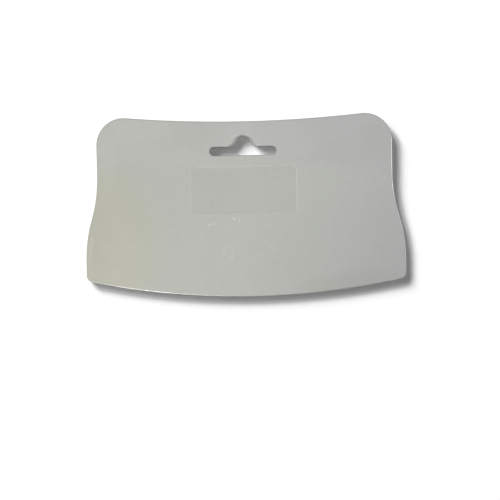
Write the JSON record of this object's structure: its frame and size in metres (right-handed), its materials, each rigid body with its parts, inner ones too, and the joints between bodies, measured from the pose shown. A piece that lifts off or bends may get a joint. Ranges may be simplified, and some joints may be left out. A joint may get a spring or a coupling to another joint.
{
  "type": "plastic spatula",
  "caption": "Thin moulded scraper plate with a bowed working edge, a dipped grip edge, waisted sides, a hook slot for hanging and a shallow sunk panel.",
  "frame": {"origin": "on the flat back, under the middle of the plate's outline", "axes": "+X along the working edge, towards the right as seen from the front; +Y from the bowed working edge to the grip edge with the hanging slot; +Z out of the moulded front, up when the plate lies on its back"},
  "size_m": [0.1542, 0.0868, 0.0026],
  "materials": {
    "natural_polyethylene": "unpigmented polyethylene, pale grey with a breath of green, satin as moulded, slightly translucent"
  },
  "bodies": {
    "root": {"spatula_plate": "natural_polyethylene"}
  },
  "joints": []
}
